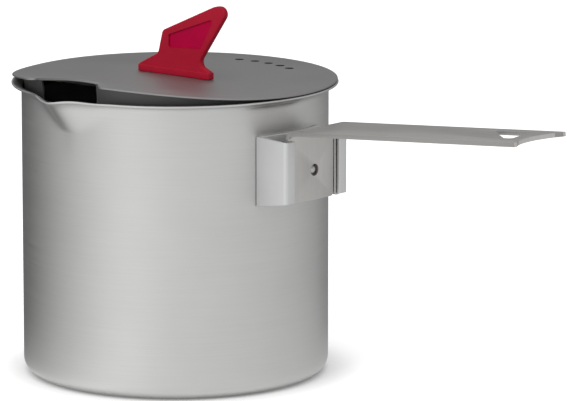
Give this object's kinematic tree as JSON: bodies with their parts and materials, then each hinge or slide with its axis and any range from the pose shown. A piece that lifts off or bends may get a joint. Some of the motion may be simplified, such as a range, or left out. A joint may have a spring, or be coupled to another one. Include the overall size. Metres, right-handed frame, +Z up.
{
  "type": "camping pot",
  "caption": "Straight-walled aluminium camping pot with a pour spout, a visor lid with a red silicone tab, and a flat strip handle that lifts out of a bracket on the wall.",
  "frame": {"origin": "centre of the pot's flat base, on the surface that it stands on", "axes": "+Z up along the pot's axis, +X towards the handle, -Y towards the pour spout"},
  "size_m": [0.2326, 0.1316, 0.1399],
  "materials": {
    "pot_aluminium": "satin, finely brushed round the wall",
    "bracket_aluminium": "plain matt sheet",
    "rivet_aluminium": "plain",
    "spring_steel": "plain spring strip",
    "handle_stainless": "brushed along its length",
    "lid_aluminium": "matt grey",
    "red_silicone": "matt"
  },
  "bodies": {
    "pot": {"pot_body": "pot_aluminium", "handle_bracket": "bracket_aluminium", "upper_rivet": "rivet_aluminium", "lower_rivet": "rivet_aluminium", "latch_spring": "spring_steel"},
    "handle": {"handle": "handle_stainless"},
    "lid": {"lid": "lid_aluminium", "lid_tab": "red_silicone"}
  },
  "joints": [
    {"name": "handle_slide", "type": "slide", "parent": "pot", "child": "handle", "axis": [0, 0, 1], "range_m": [0, 0.0235], "deforming": ["latch_spring"]},
    {"name": "lid_lift", "type": "slide", "parent": "pot", "child": "lid", "axis": [0, 0, 1], "range_m": [0, 0.06]}
  ]
}
